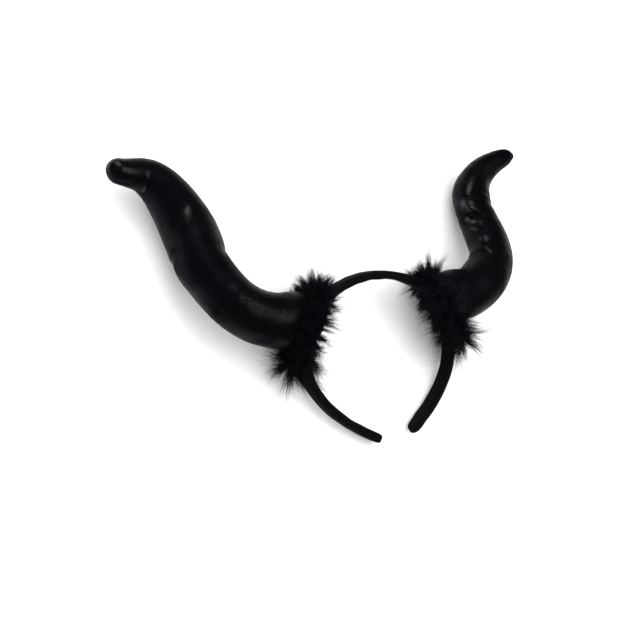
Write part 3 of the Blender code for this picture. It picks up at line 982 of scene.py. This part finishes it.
def barbs(roots, aims, lengths, random):
    """Points along every barb, (barb, point, xyz): root + aim l t + bend l t^2 + offset
    (1 - cling t) + splay l t^1.5 + a small curl sin(w t + phase) t, where t runs from 0 to 1
    and l is the tuft's length times a share from the shortest barb's to 1."""
    count = len(roots)
    t = np.linspace(0, 1, BARB_POINTS)[None, None, :, None]
    square = unit(np.cross(aims, random.normal(size=(count, 3))))
    other = np.cross(aims, square)
    bend = random.normal(0, TUFT_BEND, (count, 3))[:, None, None, :]
    spread = random.normal(0, 1, (count, BARBS_A_TUFT, 2)) * TUFT_ROOT / 2
    offset = square[:, None, :] * spread[:, :, :1] + other[:, None, :] * spread[:, :, 1:]
    share = random.uniform(0, 1, (count, BARBS_A_TUFT)) ** MOSTLY_SHORT
    share = SHORTEST_BARB + (1 - SHORTEST_BARB) * share
    reach = (lengths[:, None] * share)[:, :, None, None]
    splay = random.normal(0, SPLAY, (count, BARBS_A_TUFT, 3))[:, :, None, :]
    curl = random.normal(0, BARB_CURL, (count, BARBS_A_TUFT, 3))[:, :, None, :]
    phase = random.uniform(0, 2 * math.pi, (count, BARBS_A_TUFT, 3))[:, :, None, :]
    points = (
        roots[:, None, None, :]
        + aims[:, None, None, :] * reach * t
        + bend * reach * t**2
        + offset[:, :, None, :] * (1 - CLING * t)
        + splay * reach * t**1.5
        + curl * reach * np.sin(CURL_WAVE * t + phase) * t
    )
    return points.reshape(-1, BARB_POINTS, 3)


# %% Keeping the barbs out of horn and floor
# a coarse horn will do, of which only the rings near the root are within the down's reach
COARSE_RINGS = 90
COARSE_SIDES = 24
COARSE_TIP_TURNS = (30, 60)
COARSE_ROOT_TURNS = (50,)
RINGS_IN_REACH = 40


def off_horn(points, name, clearance):
    """Pushes points away from the horn's line where they are nearer to it than its radius."""
    grid = horn_surface(name, COARSE_RINGS, COARSE_SIDES, COARSE_TIP_TURNS, COARSE_ROOT_TURNS)[0]
    grid = grid[:RINGS_IN_REACH]
    centres = grid.mean(axis=1)
    radius = np.linalg.norm(grid - centres[:, None, :], axis=2).mean(axis=1)
    flat = points.reshape(-1, 3)
    near = np.argmin(((flat[:, None, :] - centres[None, :, :]) ** 2).sum(-1), axis=1)
    apart = flat - centres[near]
    distance = np.linalg.norm(apart, axis=1)
    needed = radius[near] + clearance
    short = np.clip(needed - distance, 0, None)
    flat = flat + apart / np.maximum(distance, 1e-9)[:, None] * short[:, None]
    return flat.reshape(points.shape)


def above_floor(points, clearance):
    """Bends points that would be under the floor onto it. What stands over the highest straight
    place droops, so that only a third of that height is left."""
    flat = lay(points)
    over = np.maximum(flat[..., 2] - HIGHEST_STRAIGHT, 0)
    flat[..., 2] = np.maximum(flat[..., 2], clearance) - over * 2 / 3
    return flat


# %% Sleeve on the horn's root
SLEEVE_STEPS = 150
SLEEVE_SIDES = 18
SLEEVE_HALF_THICKNESS = 1.5 * MM
SLEEVE_EDGE = 0.5 * MM
SLEEVE_LUMPS = 0.35 * MM
SLEEVE_LUMP_LENGTH = 5 * MM
SLEEVE_GAP = 0.1 * MM


def sleeve_piece(name):
    """A closed sleeve on the horn from the cord to the horn's rim: middle + away a cos(b) + out c
    sin(b) and small waves, where a is its half thickness, c is a + half the way from the cord to
    the rim, and the middle is that half way along and a off the horn."""
    around = np.linspace(0, 360, SLEEVE_STEPS, endpoint=False)
    centres, away = cord_line(name, around)
    out = horn_seat(SIDES[name])[1]
    turns = np.linspace(0, 2 * math.pi, SLEEVE_SIDES, endpoint=False)
    drop = (CORE_DROP * (1 - np.cos(np.radians(around))) / 2)[:, None]
    reach = ((SLEEVE_EDGE - round_root(name, around, 3) * MM) / 2)[:, None]
    middle = centres - away * (drop + CORE_RADIUS - SLEEVE_HALF_THICKNESS) + out * reach
    thick = (away * SLEEVE_HALF_THICKNESS)[:, None, :] * np.cos(turns)[:, None]
    wide = (out * (SLEEVE_HALF_THICKNESS + np.abs(reach)))[:, None, :] * np.sin(turns)[:, None]
    grid = middle[:, None, :] + thick + wide
    rays = unit(thick + wide)
    grid = grid + rays * (SLEEVE_LUMPS * waves(grid, SLEEVE_LUMP_LENGTH, 81))[:, :, None]
    grid = off_band(off_horn(grid, name, SLEEVE_GAP), SLEEVE_GAP)
    step, side = np.meshgrid(np.arange(SLEEVE_STEPS), np.arange(SLEEVE_SIDES), indexing="ij")
    after, beside = (step + 1) % SLEEVE_STEPS, (side + 1) % SLEEVE_SIDES
    quads = np.stack([
        step * SLEEVE_SIDES + side, after * SLEEVE_SIDES + side,
        after * SLEEVE_SIDES + beside, step * SLEEVE_SIDES + beside,
    ], axis=-1).reshape(-1, 4)
    return new_piece("marabou_cord_" + name, above_floor(grid, FLOOR_GAP).reshape(-1, 3), quads)


# %% Barb tubes
BARB_THICKNESSES = (0.7, 1.25)
BARB_TAPER = 0.6


def barb_piece(name, points, random):
    """Closed three-sided tubes: at each point three corners at radius r (1 - t)^taper round the
    barb's own line, one shared tip and a face over the root."""
    count, steps = points.shape[:2]
    run = unit(points[:, -1] - points[:, 0])
    square = unit(np.cross(run, random.normal(size=(count, 3))))
    other = np.cross(run, square)
    turns = np.radians((0, 120, 240))
    ring = square[:, None, :] * np.cos(turns)[:, None] + other[:, None, :] * np.sin(turns)[:, None]
    thick = BARB_RADIUS * random.uniform(*BARB_THICKNESSES, count)
    t = np.linspace(0, 1, steps)[:-1]
    radius = thick[:, None] * (1 - t) ** BARB_TAPER
    tubes = points[:, :-1, None, :] + ring[:, None, :, :] * radius[:, :, None, None]
    corners = np.concatenate([tubes.reshape(count, -1, 3), points[:, -1:]], axis=1)
    size = corners.shape[1]
    low, side = np.meshgrid(np.arange(0, 3 * (steps - 2), 3), np.arange(3), indexing="ij")
    after = (side + 1) % 3
    quad = np.stack([low + side, low + after, low + 3 + after, low + 3 + side], axis=-1)
    last, tip = 3 * (steps - 2), size - 1
    ends = np.array([
        (last, last + 1, tip), (last + 1, last + 2, tip), (last + 2, last, tip), (2, 1, 0),
    ])
    starts = (np.arange(count) * size)[:, None, None]
    quads = (quad.reshape(1, -1, 4) + starts).reshape(-1, 4)
    triangles = (ends[None] + starts).reshape(-1, 3)
    return new_piece(name, corners.reshape(-1, 3), quads, triangles)


# %% Grow the down
DOWN_PIECES = 3
BARB_GAP = 0.2 * MM
down = {}
for name in SIDES:
    random = np.random.default_rng(70 + SIDES[name])
    points = barbs(*tuft_table(name, random), random)
    points = off_band(off_horn(points, name, BARB_GAP), BARB_GAP)
    points = above_floor(points, FLOOR_GAP)
    parts = np.array_split(points, DOWN_PIECES)
    down[name] = [
        barb_piece(f"marabou_down_{name}_{i}", part, random) for i, part in enumerate(parts, 1)
    ]
    down[name].append(sleeve_piece(name))
    print(f"{name}: {len(points)} barbs")

# %% Down material
marabou, tree, shader, place = new_material(
    "marabou down, dyed black", Base_Color=linear("#08090C"), Roughness=0.85, IOR=1.5,
    Specular_IOR_Level=0.08, Sheen_Weight=0.045, Sheen_Roughness=0.5, Sheen_Tint=linear("#8494B8"),
)
dye = noise(tree, place, 0.006, 3.0)
tree.links.new(two_tones(tree, dye, "#030405", "#0D0F14"), shader.inputs["Base Color"])
for name, pieces in down.items():
    for piece in pieces:
        wear(piece, marabou, "marabou_" + name)

# %% [markdown]
# ## Floor, light and camera
#
# The photograph is a cut-out on white, so the floor is a plain pale board that is lit evenly.
# Black vinyl shows only what it mirrors, so small lamps that it can see are kept apart from the
# broad light that the floor needs.

# %% Floor
FLOOR_SIDE = 6.0
half = FLOOR_SIDE / 2
corners = [(-half, -half, 0.0), (half, -half, 0.0), (half, half, 0.0), (-half, half, 0.0)]
floor_mesh = bpy.data.meshes.new("floor")
floor_mesh.from_pydata(corners, [], [(0, 1, 2, 3)])
floor = bpy.data.objects.new("floor", floor_mesh)
bpy.context.scene.collection.objects.link(floor)
board = new_material(
    "matt white board", Base_Color=linear("#EDEDED"), Roughness=0.9, Specular_IOR_Level=0.1,
)[0]
floor.data.materials.append(board)
floor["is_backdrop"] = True

# %% Light
ROOM_STRENGTH = 1.5
LAMPS_AIM_AT = (0.0, 0.0, 0.03)
# name, azimuth and elevation in degrees, distance, width and height in metres, watts, and
# whether the horns mirror it
LAMPS = [
    ("broad overhead", 60, 75, 1.6, 1.6, 1.6, 6, False),
    ("tall window behind", 105, 42, 1.1, 0.50, 0.90, 2.7, True),
    ("softbox right", -8, 62, 1.2, 0.80, 0.80, 2.9, True),
    ("card right", 0, 5, 0.7, 0.45, 0.30, 0.45, True),
]
world = bpy.data.worlds.new("soft white room")
bpy.context.scene.world = world
world.use_nodes = True
background = world.node_tree.nodes["Background"]
background.inputs["Color"].default_value = linear("#FFFFFF")
background.inputs["Strength"].default_value = ROOM_STRENGTH
world.cycles_visibility.glossy = False
bpy.context.scene.view_settings.view_transform = "Standard"


def add_lamp(name, azimuth, elevation, distance, width, height, watts, mirrored):
    """A rectangular lamp that faces the object from azimuth (0 = +X, 90 = +Y) and elevation."""
    light = bpy.data.lights.new(name, "AREA")
    light.shape = "RECTANGLE"
    light.size = width
    light.size_y = height
    light.energy = watts
    lamp = bpy.data.objects.new(name, light)
    a, e = math.radians(azimuth), math.radians(elevation)
    way = np.array((math.cos(a) * math.cos(e), math.sin(a) * math.cos(e), math.sin(e)))
    lamp.matrix_world = Matrix.Translation((LAMPS_AIM_AT + way * distance).tolist())
    lamp.rotation_euler = (math.pi / 2 - e, 0, a + math.pi / 2)
    lamp.visible_glossy = mirrored
    bpy.context.scene.collection.objects.link(lamp)


for lamp_row in LAMPS:
    add_lamp(*lamp_row)

# %% Camera
# Found from the photograph's outline: place, direction and field of view
CAMERA_AT = (-0.3565, -0.1004, 0.4761)
CAMERA_RIGHT = (0.82526, -0.25146, 0.50567)
CAMERA_UP = (0.12890, 0.95563, 0.26486)
CAMERA_LENS = 44.26
CAMERA_SENSOR = 36
camera_data = bpy.data.cameras.new("camera")
camera_data.sensor_width = CAMERA_SENSOR
camera_data.lens = CAMERA_LENS
camera = bpy.data.objects.new("camera", camera_data)
right = np.array(CAMERA_RIGHT)
up = np.array(CAMERA_UP)
back = np.cross(right, up)
matrix = np.eye(4)
matrix[:3, :3] = np.column_stack([right, up, back])
matrix[:3, 3] = CAMERA_AT
camera.matrix_world = Matrix(matrix.tolist())
bpy.context.scene.collection.objects.link(camera)
bpy.context.scene.camera = camera

# %% Sizes and finish
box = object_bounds()
for axis, cad_low, cad_high, low, high in zip("XYZ", *cad_box, *box, strict=True):
    print(f"{axis}: CAD {cad_low:.4f} to {cad_high:.4f}, visual {low:.4f} to {high:.4f}")
